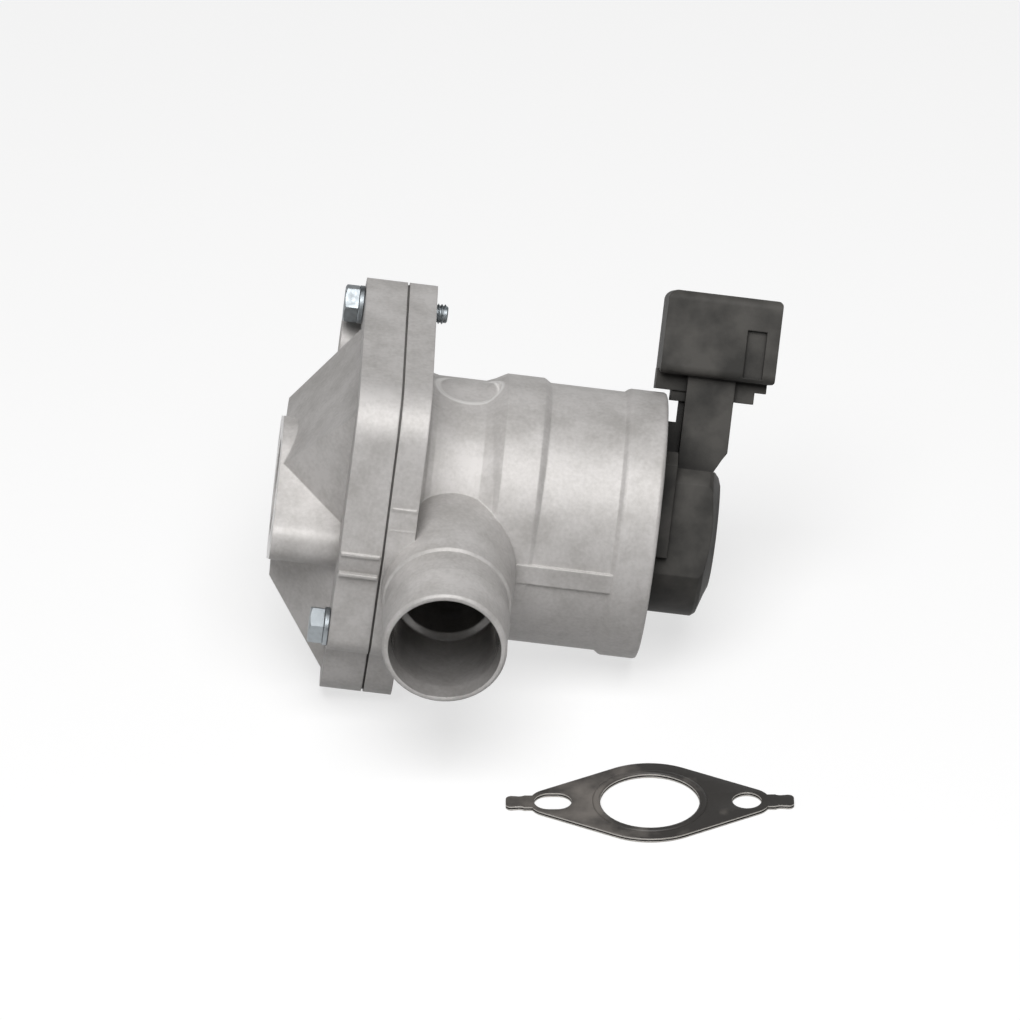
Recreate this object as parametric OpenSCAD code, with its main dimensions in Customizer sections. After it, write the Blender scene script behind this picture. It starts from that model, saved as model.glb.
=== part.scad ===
// Secondary-air switching valve with a reed check valve, and its loose port gasket.
// The valve's own axis is X, from the outlet pad to the solenoid. Its seam lies at X = 0.
// Every piece of the valve is then leant and moved to how the valve lies on a flat surface,
// with the centre of the outlet port, on the pad's face, at the origin and +Z up.

/* [Flange joint] */
// Thickness of the cover's flange, its gasket included
cover_flange_t = 10.2; // [9.6:0.2:12]
// Thickness of the housing's flange
body_flange_t = 6.6; // [5.6:0.2:8]
// How far the straight foot of both flanges lies below the axis
flange_foot = 38.7; // [38:0.1:41]
// Radius of the two large corners
corner_r = 12; // [10:0.5:13]
// Radius of the corner above the inlet pipe
shoulder_r = 12.7; // [11:0.1:14]
// Radius of the ears round the upper screw and the rear screw
screw_ear_r = 6.5; // [6.1:0.1:7.5]
// Radius of the ear round the front screw
front_ear_r = 5.3; // [5.1:0.1:6.5]
// How far in front of the axis the lower front corner has its centre
front_corner_y = 23; // [21:0.2:26]
// Thickness of the gasket in the seam
seam_gasket_t = 0.5; // [0.3:0.1:0.8]
// How far the seam gasket stays back from the flanges' edge
seam_inset = 0.6; // [0.2:0.1:1.2]

/* [Outlet pad] */
// Height of the pad's face above the cover's flange
pad_h = 15.8; // [14.8:0.2:18]
// Offset of the outlet port from the valve's axis, towards the inlet side
pad_offset = 2.6; // [1:0.2:4]
// Bore of the outlet port
port_d = 23; // [18:0.5:24]
// Distance between the two mounting holes
pad_pitch = 44.8; // [43:0.2:47.6]
// Radius of the pad round the port
pad_r = 16.85; // [15.5:0.1:18]
// Radius of the pad's ears
pad_ear_r = 5.6; // [5.2:0.1:6.5]
// Tapping bore for the M6 mounting bolts
pad_tap_d = 5; // [4.2:0.1:5.4]
// Depth of the tapped holes
pad_tap_depth = 13; // [9:0.5:14]

/* [Cover dome] */
// How far the pad's face stands proud of the dome's flat top
pad_proud = 1; // [0.6:0.1:1.6]
// Height of the low land beside the upper screw
land_h = 4.4; // [3:0.1:5]
// Radius of the low land
land_r = 7; // [5:0.2:8]
// Depth of the reed pocket from the seam
pocket_depth = 7.2; // [6.8:0.1:7.6]

/* [Housing] */
// Radius of the neck behind the flange
neck_r = 29.4; // [28.6:0.1:30.2]
// Height of the raised land's top above the axis
band_top = 31.8; // [31.4:0.1:32.2]
// How far the raised land's centre lies above the axis
band_rise = 0.7; // [0.4:0.1:0.9]
// Radius of the barrel
barrel_r = 30.7; // [30.2:0.1:31]
// Radius of the collar at the open end
rim_r = 31.6; // [31.1:0.1:32.2]
// Edge radius of the collar
rim_round = 0.8; // [0.4:0.1:1.2]
// Place of the raised land's start
band_x = 25.4; // [24.6:0.1:26]
// Width of the raised land
band_w = 9.2; // [8:0.2:11]
// Length of the collar at the open end
collar_w = 9.2; // [7:0.2:9.8]
// Thickness of the lip that is rolled over the cap's disc
lip_w = 1; // [0.8:0.1:1.4]
// Length of the housing from the seam to the rim
body_len = 63.2; // [62.8:0.1:64]
// Radius of the inlet chamber
chamber_r = 24.5; // [23:0.1:25]
// Place of the step that the front plate seats on
plate_x = 29; // [28.6:0.1:30]
// Radius of the bore that holds the solenoid
coil_bore_r = 27.5; // [27.2:0.1:27.8]
// Depth of the milled flat on top of the neck
top_flat_depth = 0.4; // [0.3:0.05:0.6]
// Radius of the flat's rounded front edge
top_flat_r = 7.4; // [6:0.2:7.6]
// How far behind the axis the flat's round has its centre
top_flat_back = 4.2; // [3.4:0.1:4.6]
// Width of the casting's parting strip
strip_w = 5; // [3:0.2:7]
// How far the parting strip stands out of the barrel
strip_out = 0.5; // [0.5:0.05:0.7]

/* [Inlet pipe] */
// Distance from the seam to the pipe's centre
pipe_x = 15.7; // [15.7:0.1:16.4]
// Height of the pipe's centre and of the parting strips above the axis
pipe_z = 1.1; // [0:0.1:1.6]
// Outside diameter of the hose spigot
spigot_d = 28.8; // [27.8:0.1:29.2]
// Bore of the spigot
pipe_bore_d = 24.8; // [23.4:0.1:25.6]
// Distance from the axis to the pipe's mouth
pipe_reach = 68.6; // [64:0.2:76]
// Distance from the axis to the hose stop
shoulder_reach = 48.3; // [46:0.1:52]
// Distance from the axis to the step where the bore narrows
bore_step = 44.4; // [36:0.2:50]
// How far the mouth flares out, on the radius
mouth_flare = 0.6; // [0.3:0.05:0.8]
// Depth of that flare
flare_depth = 4; // [2:0.2:6]
// Radius of the pipe's root
root_r = 15.6; // [15.4:0.1:15.6]
// Height of the low barb that holds the hose
barb_h = 0.4; // [0.2:0.05:0.5]
// Distance from the axis to the barb's step
barb_reach = 56.8; // [54:0.2:58]
// Bore of the window between pipe and chamber
window_d = 21.2; // [18:0.4:21.2]

/* [Valve seat] */
// Radius of the seat's opening
seat_r = 14; // [12:0.2:14.5]
// Thickness of the seat wall
seat_wall_t = 3.7; // [3.2:0.1:3.7]
// Height of the seat's raised bead
seat_bead_h = 1; // [0.6:0.1:1.2]
// Depth of the recess in the flange's face
face_recess = 1; // [0.8:0.1:1.2]
// How far the valve lifts
valve_travel = 5.5; // [4:0.1:5.6]
// Radius of the valve disc
disc_r = 18.2; // [17.6:0.1:19]
// Thickness of the disc
disc_t = 2.5; // [2:0.1:3]
// Thickness of the disc's rubber face
seal_t = 1.4; // [1:0.1:2]
// Radius of the shaft
shaft_r = 3; // [2.5:0.1:3.4]

/* [Return spring] */
// Mean radius of the coil
spring_r = 10.5; // [10:0.1:12]
// Diameter of the wire
spring_wire = 1.6; // [1.2:0.1:1.8]
// Number of turns
spring_turns = 5; // [4:1:6]

/* [Reeds] */
// Thickness of the reed plate
reed_plate_t = 2.5; // [2.2:0.1:2.8]
// Radius of the reed plate
reed_plate_r = 30.5; // [29.8:0.1:30.8]
// Thickness of a reed
reed_t = 0.3; // [0.2:0.05:0.4]
// Width of a reed
reed_w = 17.2; // [15.6:0.2:18]
// Width of a port in the reed plate
reed_port_w = 13; // [11:0.2:14.4]
// Height of a port in the reed plate
reed_port_h = 12.8; // [10:0.2:13.6]
// Distance from the axis to a reed's bending line
reed_root = 20.2; // [19.8:0.1:20.8]
// Distance from the axis to a reed's free end
reed_tip = 2.2; // [1.6:0.1:3]
// How far a reed opens, in degrees
reed_open = 12; // [8:0.5:13]
// Thickness of a reed's stop
stop_t = 1; // [0.8:0.1:1.2]

/* [Solenoid] */
// Thickness of the steel front plate
front_plate_t = 3; // [2.4:0.1:3.4]
// Wall of the steel case
case_wall = 2.2; // [1.6:0.1:2.4]
// Radius of the armature
armature_r = 9.2; // [8:0.1:9.6]
// Length of the fixed core's pole
core_len = 2.7; // [2:0.1:5]
// Wall of the armature's sleeve
sleeve_wall = 0.7; // [0.4:0.1:0.9]
// Wall of the bobbin
bobbin_wall = 1.5; // [1.2:0.1:1.8]
// Outside radius of the winding
winding_r = 23.6; // [20:0.2:24]
// How far the solenoid's moulding is turned back from upright, in degrees
cap_turn = 30; // [0:5:60]

/* [Solenoid cap] */
// Radius of the round cap
cap_r = 20; // [18:0.2:21]
// Half the width across the cap's side flats
cap_flat = 16.8; // [15:0.2:18]
// Height of the cap's upper flat above the axis
cap_top = 14.3; // [13:0.1:15]
// How far the cap's end face stands out of the housing's rim
cap_h = 14.7; // [13:0.1:15.8]
// Thickness of the cap's disc in the housing's mouth
cap_disc_t = 2.8; // [2.4:0.1:2.9]
// Radius of the ring that seals the cap's disc
cap_seal_r = 0.75; // [0.6:0.05:0.8]

/* [Connector] */
// Width of the connector
plug_w = 18; // [16:0.2:22]
// Height of the connector
plug_h = 19.8; // [18:0.2:21]
// Height of the connector's underside above the axis
plug_base = 36.2; // [35.6:0.2:38]
// How far the connector's closed end lies behind the housing's rim
plug_back = 2.7; // [2.2:0.1:3.2]
// Length of the connector
plug_len = 27.1; // [25.6:0.1:29]
// Radius of the connector's long edges
plug_edge_r = 2.2; // [1.4:0.1:2.6]
// Radius of the connector's upper edge at its closed end
plug_end_r = 2.4; // [1.4:0.1:3]
// Wall of the connector
plug_wall = 1.8; // [1.4:0.1:2.2]
// Depth of the hollows in the connector's sides
side_hollow = 0.9; // [0.4:0.1:1.1]
// Depth of the connector's socket
socket_depth = 16.5; // [13:0.5:18]
// Distance between the two terminals
terminal_pitch = 6.6; // [5:0.2:8]
// Width of a terminal's blade
terminal_w = 2.4; // [1.8:0.1:2.8]
// Thickness of a terminal's blade
terminal_t = 0.8; // [0.6:0.1:1]
// Length of a terminal, its root in the moulding included
terminal_len = 16; // [12:0.5:18]

/* [Screws] */
// Diameter of the cover screws
screw_d = 4.8; // [4:0.1:5]
// Width across the flats of a screw's head
screw_af = 8; // [7:0.1:8.2]
// Height of a screw's head
screw_head_h = 3.3; // [2.8:0.1:4]
// Thickness of a spring washer
washer_t = 1.4; // [1:0.1:1.6]
// How far the screws stand out behind the housing's flange
screw_out = 3.1; // [1:0.1:4]

/* [Loose gasket] */
// Thickness of the gasket
gasket_t = 1.3; // [0.8:0.1:1.6]
// Opening of the gasket's port
gasket_port_d = 23; // [20:0.5:24]
// Holes for the mounting bolts
gasket_hole_d = 6.8; // [6.2:0.1:7.2]
// Length of the slotted hole
gasket_slot_len = 8.7; // [8.4:0.1:9.2]
// Radius of the gasket round its port
gasket_r = 16.4; // [15.6:0.1:17]
// Radius of the gasket's ears
gasket_ear_r = 5.4; // [5:0.1:6]
// Length of the gasket over its two tabs
gasket_len = 66.6; // [58:0.2:70]
// Width of a tab
tab_w = 4.4; // [3:0.1:5]
// Radius of a tab's corners
tab_round = 1; // [0.5:0.1:1.4]
// Height of the pressed bead round the port
gasket_bead_h = 0.25; // [0.1:0.05:0.4]
// How far the loose gasket lies in front of the valve's axis
gasket_front = 73.6; // [66:0.2:80]
// How far the loose gasket lies to the right of the rim's foot
gasket_right = 5.1; // [0:0.1:10]
// How far the loose gasket is turned as it lies, in degrees
gasket_turn = 1.6; // [-10:0.2:10]

/* [Hidden] */
$fn = 64;

// Overlap of a cutter past the face that it cuts
cut = 0.5;
// Running clearance between a moving round piece and its bore
running = 0.08;
// Clearance of pieces that are placed by hand
loose = 0.3;
// Clearance of a pressed or threaded piece
snug = 0.02;
// How far a straight side is set into the round corners that it joins
set_in = 0.01;

// Flange corners as [y, z, radius], with -Y towards the inlet pipe
screw_points = [[24.2, 36.5], [-36.5, -15.9], [27.8, screw_ear_r - flange_foot]];
front_corner = [-front_corner_y, corner_r - flange_foot, corner_r];
back_corner = [29.7, 22.5, corner_r];
shoulder_corner = [-25.2, 31, shoulder_r];
cheek_corner = [-31, 8, 12.4];
ear_radii = [screw_ear_r, front_ear_r, screw_ear_r];
ear = [for (i = [0 : 2]) [screw_points[i].x, screw_points[i].y, ear_radii[i]]];
flange_corners = [front_corner, ear[2], back_corner, ear[0], shoulder_corner, cheek_corner];
ear_blend = [-31.5, 4, 11];
// Outer faces of the thin ribs across the flanges' front edges, as [distance, height]
cover_rib_faces = [[43.5, 2.6], [43.8, 8.2]];
body_rib_faces = [[42.1, 14.9], [41, 20]];

cover_face_x = -cover_flange_t;
pad_x = -cover_flange_t - pad_h;
dome_x = pad_x + pad_proud;
// The dome's foot on the flange and its flat top, as [y, z]
dome_foot = [[-26, -34.1], [-26, 35.3], [15.1, 35.3], [31, 21], [31, -20], [17, -34.1]];
dome_top = [[-13.8, -17.5], [-13.8, 13.1], [17, 13.1], [20, 9], [20, -12], [13, -17.5]];
land_at = [28, 23];
pocket_r = reed_plate_r - 2.5;

seat_top = face_recess + seat_wall_t;
bead_top = seat_top + seat_bead_h;
bead_w = 2.6;
top_flat_x = band_x - top_flat_r - 1.8;
barb_len = 5.2;
seal_gap = 0.1;
seal_x = bead_top + seal_gap;
disc_x = seal_x + seal_t;
disc_back = disc_x + disc_t;
nut_t = 3;
nut_af = 10;
nut_washer_r = 5.6;
shaft_x = disc_x - nut_t - 1;
spring_end = plate_x - snug;

// The solenoid's stack, from the housing's rim inwards
collar_x = body_len - collar_w;
lip_x = body_len - lip_w;
lip_in_r = coil_bore_r - 0.9;
stack_gap = 0.2;
cap_disc_end = lip_x - stack_gap;
cap_disc_x = cap_disc_end - cap_disc_t;
case_end = cap_disc_x - stack_gap;
cap_end = body_len + cap_h;
plug_x = body_len - plug_back;
plug_mouth = plug_x + plug_len;

plate_back = plate_x + front_plate_t;
bush_r = 7;
bush_flange_r = 8.6;
bush_flange_t = 1.2;
bush_nose = 2.6;
seal_ring_r = 6.2;

case_r = coil_bore_r - 0.2;
case_end_t = 2;
sleeve_in_r = armature_r + running;
sleeve_r = sleeve_in_r + sleeve_wall;
bobbin_in_r = sleeve_r + 0.1;
bobbin_r = case_r - case_wall - 0.3;
bobbin_x = plate_back + 0.2;
bobbin_end = case_end - case_end_t - 1;
core_x = case_end - case_end_t - core_len;
core_spigot_r = 7;
armature_x = plate_back + 2;
armature_end = core_x - valve_travel - loose;
cap_disc_r = coil_bore_r - loose;
cap_seal_x = cap_disc_x + cap_disc_t / 2;

stop_x = -seam_gasket_t - reed_plate_t;
clamp_x = stop_x - reed_t;
reed_screw_y = 5;
reed_screw_z = reed_root + 3;
clamp_end = reed_root + 6;
reed_screw_d = 2.5;

// The lean at which the foot of the housing's flange and the collar both touch the ground
reach = [body_len - rim_round - body_flange_t, flange_foot - rim_r + rim_round];
lean = atan2(reach.y, reach.x) - asin(rim_round / norm(reach));
// Ground height and the collar's foot, in the leant frame
ground = -(body_flange_t - pad_x) * sin(lean) - flange_foot * cos(lean);
rim_foot_x = (body_len - rim_round - pad_x) * cos(lean) - (rim_r - rim_round) * sin(lean);
gasket_at = [rim_foot_x + gasket_right, pad_offset - gasket_front, ground];

aluminium = "#b9b7b4";
machined = "#c9c8c6";
zinc = "#c8cdd0";
steel = "#8d9093";
black_plastic = "#484745";
rubber = "#242424";
brass = "#b59a55";
copper = "#9c5a32";
graphite = "#5d5a58";

// Places a piece, drawn about the valve's own axis, where the valve lies on the ground
module as_it_lies()
    rotate([0, lean, 0])
        translate([-pad_x, pad_offset, 0])
            children();

// Extrudes a shape drawn in Y and Z along X
module along_x(from, to)
    translate([from, 0, 0])
        rotate([90, 0, 90])
            linear_extrude(to - from)
                children();

// A straight round bar along X
module rod(r, from, to)
    translate([from, 0, 0])
        rotate([0, 90, 0])
            cylinder(h = to - from, r = r);

module tube(r_out, r_in, from, to)
    difference() {
        rod(r_out, from, to);
        rod(r_in, from - cut, to + cut);
    }

// A solid of revolution about X from points [radius, x]
module turned(points)
    rotate([0, 90, 0])
        rotate_extrude()
            polygon(points);

// A rubber ring of round section
module ring(major, minor, x)
    translate([x, 0, 0])
        rotate([0, 90, 0])
            rotate_extrude()
                translate([major, 0])
                    circle(minor, $fn = 24);

// Two points where the outer tangent touches circles a and b, going round to the left
function tangent(a, b) = let (
    d = [b.x - a.x, b.y - a.y],
    e = d / norm(d),
    s = (a.z - b.z) / norm(d),
    n = [e.y, -e.x] * sqrt(1 - s * s) + e * s
) [[a.x, a.y] + n * (a.z - set_in), [b.x, b.y] + n * (b.z - set_in)];

// A plate outline that wraps a ring of circles, grown by the given distance
module wrapped(circles, grow = 0) {
    rounds = [for (c = circles) [c.x, c.y, c.z + grow]];
    n = len(rounds);
    polygon([for (i = [0 : n - 1]) each tangent(rounds[i], rounds[(i + 1) % n])]);
    for (c = rounds)
        translate([c.x, c.y])
            circle(c.z);
}

module flange_outline(grow = 0) {
    wrapped(flange_corners, grow);
    wrapped([ear_blend, ear[1]], grow);
}

module pad_outline(middle_r, ear_r, pitch)
    wrapped([[-pitch / 2, 0, ear_r], [0, 0, middle_r], [pitch / 2, 0, ear_r], [0, 0, middle_r]]);

module at_screws()
    for (p = screw_points)
        translate([0, p.x, p.y])
            children();

// Housing

module housing_turned()
    turned([
        [0, 0], [neck_r + 2.4, 0], [neck_r + 2.4, body_flange_t],
        [neck_r + 1.2, body_flange_t + 0.5], [neck_r + 0.3, body_flange_t + 1.5],
        [neck_r, body_flange_t + 2.8], [neck_r, band_x - 4.8], [barrel_r, band_x - 1.6],
        [barrel_r, collar_x - 0.8], [rim_r - 0.2, collar_x + 0.2],
        [rim_r, collar_x + 0.8], [rim_r, body_len - rim_round],
        [rim_r - rim_round * 0.29, body_len - rim_round * 0.29],
        [rim_r - rim_round, body_len], [0, body_len]
    ]);

// Land round the barrel, set a little high, so that it fades out below
module raised_land() {
    r = band_top - band_rise;
    foot_r = neck_r - 1;
    band_end = band_x + band_w;
    translate([0, 0, band_rise])
        turned([
            [foot_r - 1, band_x - 4.8], [neck_r - band_rise, band_x - 4.4],
            [r - 0.4, band_x - 0.8], [r, band_x], [r, band_end - 0.6],
            [r - 0.3, band_end], [barrel_r - band_rise, band_end + 1.2],
            [foot_r - 1, band_end + 1.2]
        ]);
}

module pipe_turned(points)
    translate([pipe_x, 0, pipe_z])
        rotate([90, 0, 0])
            rotate_extrude()
                polygon(points);

module inlet_pipe() {
    spigot_r = spigot_d / 2;
    pipe_turned([
        [0, chamber_r - 4], [root_r, chamber_r - 4], [root_r, 36],
        [spigot_r + 0.6, shoulder_reach - 0.3], [spigot_r + 0.4, shoulder_reach],
        [spigot_r, shoulder_reach + 0.3], [spigot_r, barb_reach - 0.4],
        [spigot_r + barb_h, barb_reach], [spigot_r, barb_reach + barb_len],
        [spigot_r, pipe_reach - 0.6], [spigot_r - 0.5, pipe_reach], [0, pipe_reach]
    ]);
}

module pipe_bore() {
    r = pipe_bore_d / 2;
    mouth_r = r + mouth_flare;
    pipe_turned([
        [0, seat_r + 3], [window_d / 2, seat_r + 3], [window_d / 2, bore_step - 0.6],
        [r, bore_step], [r, pipe_reach - flare_depth], [mouth_r, pipe_reach - 0.4],
        [mouth_r, pipe_reach + cut], [0, pipe_reach + cut]
    ]);
}

// Raised strips along the casting's parting line, front and back
module parting_strips() {
    start = pipe_x + root_r - 1;
    depth = 2 + strip_out;
    for (side = [-1, 1])
        translate([start, side * (barrel_r - 2 + depth / 2) - depth / 2, pipe_z - strip_w / 2])
            cube([collar_x - start, depth, strip_w]);
}

// A thin rib across a flange's edge, at [y, z] of its outer face
module flash_rib(face, from, to)
    translate([from, -face.x, face.y - 0.45])
        cube([to - from, 4, 0.9]);

// Milled flat on top of the neck, next to the land
module top_flat()
    translate([top_flat_x, top_flat_back, neck_r - top_flat_depth])
        cylinder(h = band_top, r = top_flat_r);

module housing_hollow() {
    turned([
        [0, -cut], [pocket_r - 6, -cut], [pocket_r - 6, face_recess], [seat_r, face_recess],
        [seat_r, bead_top], [seat_r + bead_w, bead_top], [seat_r + bead_w, seat_top],
        [chamber_r, seat_top], [chamber_r, plate_x], [coil_bore_r, plate_x],
        [coil_bore_r, lip_x], [lip_in_r, lip_x], [lip_in_r, body_len - 0.3],
        [lip_in_r + 0.4, body_len + cut], [0, body_len + cut]
    ]);
}

module valve_housing()
    color(aluminium) as_it_lies()
        difference() {
            union() {
                along_x(0, body_flange_t) flange_outline();
                housing_turned();
                raised_land();
                inlet_pipe();
                parting_strips();
                for (face = body_rib_faces)
                    flash_rib(face, 0.5, body_flange_t - 0.3);
            }
            top_flat();
            housing_hollow();
            pipe_bore();
            at_screws() {
                rod(screw_d / 2 + snug, -cut, body_flange_t + cut);
                rod(screw_d / 2 + loose, body_flange_t, body_flange_t + screw_out + cut);
            }
        }

// Cover

module dome()
    hull() {
        along_x(cover_face_x - 0.01, cover_face_x + 1) polygon(dome_foot);
        along_x(dome_x, dome_x + 0.01) polygon(dome_top);
    }

module cover_hollow() {
    rod(reed_plate_r + loose, stop_x, cut);
    rod(pocket_r, -pocket_depth, stop_x + cut);
    translate([0, -pad_offset, 0]) {
        turned([
            [0, -pocket_depth + cut], [port_d / 2 + 5, -pocket_depth + cut],
            [port_d / 2 + 5, -pocket_depth - 1], [port_d / 2, -pocket_depth - 11],
            [0, -pocket_depth - 11]
        ]);
        rod(port_d / 2, pad_x - cut, -pocket_depth);
        for (side = [-1, 1])
            translate([0, side * pad_pitch / 2, 0])
                rod(pad_tap_d / 2, pad_x - cut, pad_x + pad_tap_depth);
    }
}

module air_cover()
    color(aluminium) as_it_lies()
        difference() {
            union() {
                along_x(cover_face_x, -seam_gasket_t) flange_outline();
                dome();
                along_x(pad_x, cover_face_x + 1)
                    translate([-pad_offset, 0])
                        pad_outline(pad_r, pad_ear_r, pad_pitch);
                along_x(cover_face_x - land_h, cover_face_x + 1)
                    translate(land_at)
                        circle(land_r);
                for (face = cover_rib_faces)
                    flash_rib(face, cover_face_x + 0.3, -seam_gasket_t - 0.3);
            }
            cover_hollow();
            at_screws() rod(screw_d / 2 + loose, cover_face_x - land_h, cut);
        }

module seam_gasket()
    color(graphite) as_it_lies()
        difference() {
            along_x(-seam_gasket_t, 0)
                flange_outline(-seam_inset);
            rod(reed_plate_r - 1.5, -1, 1);
            at_screws() rod(screw_d / 2 + loose, -1, 1);
        }

// Screws that hold the cover on the housing

module cover_screws() {
    under_head = cover_face_x - washer_t;
    color(zinc) as_it_lies() at_screws() {
        translate([under_head - screw_head_h, 0, 0])
            rotate([0, 90, 0])
                cylinder(h = screw_head_h, r = screw_af / sqrt(3), $fn = 6);
        rod(screw_d / 2, under_head - 1, body_flange_t + screw_out);
    }
}

module screw_washers()
    color(zinc) as_it_lies() at_screws()
        tube(screw_af / 2 + 0.5, screw_d / 2 + snug, cover_face_x - washer_t, cover_face_x);

// Reed valve: the upper half, which is mirrored for the lower one

module both_halves() {
    children();
    mirror([0, 0, 1]) children();
}

module reed_plate()
    color(steel) as_it_lies()
        difference() {
            rod(reed_plate_r, stop_x, -seam_gasket_t);
            both_halves() {
                translate([stop_x - cut, -reed_port_w / 2, reed_tip + 2.2])
                    cube([reed_plate_t + 2 * cut, reed_port_w, reed_port_h]);
                for (side = [-1, 1])
                    translate([0, side * reed_screw_y, reed_screw_z])
                        rod(reed_screw_d / 2 + snug, stop_x - cut, 1);
            }
        }

module reed_flap()
    translate([clamp_x, -reed_w / 2, reed_tip])
        cube([reed_t, reed_w, reed_root - reed_tip - 0.1]);

module upper_reed()
    color(zinc) as_it_lies() reed_flap();

module lower_reed()
    color(zinc) as_it_lies() mirror([0, 0, 1]) reed_flap();

module clamped_strip(from, thick)
    difference() {
        translate([from, -reed_w / 2, reed_root])
            cube([thick, reed_w, clamp_end - reed_root]);
        for (side = [-1, 1])
            translate([0, side * reed_screw_y, reed_screw_z])
                rod(reed_screw_d / 2 + snug, from - cut, from + thick + cut);
    }

module reed_roots()
    color(zinc) as_it_lies() both_halves()
        clamped_strip(clamp_x, reed_t);

module reed_stops()
    color(steel) as_it_lies() both_halves() {
        clamped_strip(clamp_x - stop_t, stop_t);
        translate([clamp_x - 0.15, -reed_w / 2 + 1.5, reed_root])
            rotate([0, reed_open + 1, 0])
                translate([-stop_t, 0, -(reed_root - reed_tip) * 0.8])
                    cube([stop_t, reed_w - 3, (reed_root - reed_tip) * 0.8 + 0.25]);
    }

module reed_screws()
    color(zinc) as_it_lies() both_halves()
        for (side = [-1, 1])
            translate([0, side * reed_screw_y, reed_screw_z]) {
                rod(reed_screw_d / 2, clamp_x - stop_t - 0.5, -seam_gasket_t - 0.2);
                rod(reed_screw_d, clamp_x - stop_t - 1.6, clamp_x - stop_t);
            }

// Moving valve

module valve_disc()
    color(machined) as_it_lies()
        difference() {
            turned([
                [shaft_r + snug, disc_x], [disc_r, disc_x], [disc_r, disc_back - 0.6],
                [disc_r - 0.6, disc_back], [spring_r + 2.4, disc_back],
                [spring_r + 2.4, disc_back + 0.8], [spring_r + 1.4, disc_back + 0.8],
                [spring_r + 1.2, disc_back], [shaft_r + 2.6, disc_back],
                [shaft_r + 2.2, disc_back + 1.2], [shaft_r + snug, disc_back + 1.2]
            ]);
            rod(shaft_r + snug, disc_x - cut, disc_back + 2);
        }

module valve_seal()
    color(rubber) as_it_lies()
        tube(disc_r, nut_washer_r + 0.3, seal_x, disc_x);

module disc_nut()
    color(zinc) as_it_lies()
        difference() {
            union() {
                translate([disc_x - nut_t - 0.8, 0, 0])
                    rotate([0, 90, 0])
                        cylinder(h = nut_t, r = nut_af / sqrt(3), $fn = 6);
                rod(nut_washer_r, disc_x - 0.8, disc_x);
            }
            rod(shaft_r + snug, shaft_x - 2, disc_x + cut);
        }

module valve_shaft()
    color(zinc) as_it_lies()
        turned([
            [0, shaft_x - 0.8], [shaft_r - 0.5, shaft_x - 0.8], [shaft_r, shaft_x - 0.3],
            [shaft_r, armature_end - 2], [0, armature_end - 2]
        ]);

// Points of the wire's rings, seen from the coil's end
function coil_ring(turn, r, wire, lift, sides) = [
    for (k = [0 : sides - 1]) let (
        q = 360 * k / sides,
        rr = r + wire / 2 * cos(q)
    ) [lift + wire / 2 * sin(q), rr * cos(turn), rr * sin(turn)]
];

module coil_wire(r, wire, from, to, turns) {
    sides = 8;
    steps = 14;
    n = turns * steps;
    pitch_len = to - from - wire - 2 * snug;
    rings = [for (i = [0 : n])
        coil_ring(360 * i / steps, r, wire, from + snug + wire / 2 + pitch_len * i / n, sides)];
    walls = [for (i = [0 : n - 1]) for (k = [0 : sides - 1])
        [i * sides + k, (i + 1) * sides + k,
         (i + 1) * sides + (k + 1) % sides, i * sides + (k + 1) % sides]];
    near = [for (k = [0 : sides - 1]) k];
    far = [for (k = [0 : sides - 1]) n * sides + sides - 1 - k];
    polyhedron(points = [for (g = rings) each g], faces = concat(walls, [near, far]));
}

module return_spring()
    color(steel) as_it_lies()
        coil_wire(spring_r, spring_wire, disc_back, spring_end, spring_turns);

// Solenoid

module guide_bush()
    color(brass) as_it_lies()
        turned([
            [shaft_r + running, plate_x - bush_nose], [bush_r - 1.2, plate_x - bush_nose],
            [bush_r - 1.2, plate_x - bush_flange_t], [bush_flange_r, plate_x - bush_flange_t],
            [bush_flange_r, plate_x], [bush_r, plate_x], [bush_r, plate_back],
            [shaft_r + running, plate_back]
        ]);

module shaft_seal()
    color(rubber) as_it_lies()
        tube(seal_ring_r, shaft_r + running, plate_x - bush_nose - 1.8, plate_x - bush_nose);

module front_plate()
    color(steel) as_it_lies()
        difference() {
            rod(coil_bore_r - 0.1, plate_x, plate_back);
            rod(bush_r + snug, plate_x - cut, plate_back + cut);
            tube(coil_bore_r + 1, coil_bore_r - 1.7, plate_x + 0.6, plate_x + 2.3);
        }

module plate_seal()
    color(rubber) as_it_lies()
        ring(coil_bore_r - 0.85, 0.8, plate_x + 1.45);

module armature()
    color(steel) as_it_lies()
        difference() {
            rod(armature_r, armature_x, armature_end);
            rod(shaft_r + snug, armature_x - cut, armature_end + cut);
        }

module armature_sleeve()
    color(zinc) as_it_lies()
        tube(sleeve_r, sleeve_in_r, plate_back, case_end - case_end_t);

module fixed_core()
    color(steel) as_it_lies() {
        rod(armature_r, core_x, case_end - case_end_t);
        rod(core_spigot_r, case_end - case_end_t - 1, case_end);
    }

module coil_bobbin()
    color(black_plastic) as_it_lies() {
        tube(bobbin_in_r + bobbin_wall, bobbin_in_r, bobbin_x, bobbin_end);
        tube(bobbin_r, bobbin_in_r, bobbin_x, bobbin_x + bobbin_wall);
        tube(bobbin_r, bobbin_in_r, bobbin_end - bobbin_wall, bobbin_end);
    }

module coil_winding()
    color(copper) as_it_lies()
        tube(winding_r, bobbin_in_r + bobbin_wall + snug,
             bobbin_x + bobbin_wall + snug, bobbin_end - bobbin_wall - snug);

module magnet_case()
    color(steel) as_it_lies()
        turned([
            [case_r - case_wall, plate_back], [case_r, plate_back], [case_r, case_end],
            [core_spigot_r + snug, case_end], [core_spigot_r + snug, case_end - case_end_t],
            [case_r - case_wall, case_end - case_end_t]
        ]);

// Solenoid moulding, drawn upright and turned back about the axis

module turned_back()
    rotate([-cap_turn, 0, 0])
        children();

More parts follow.
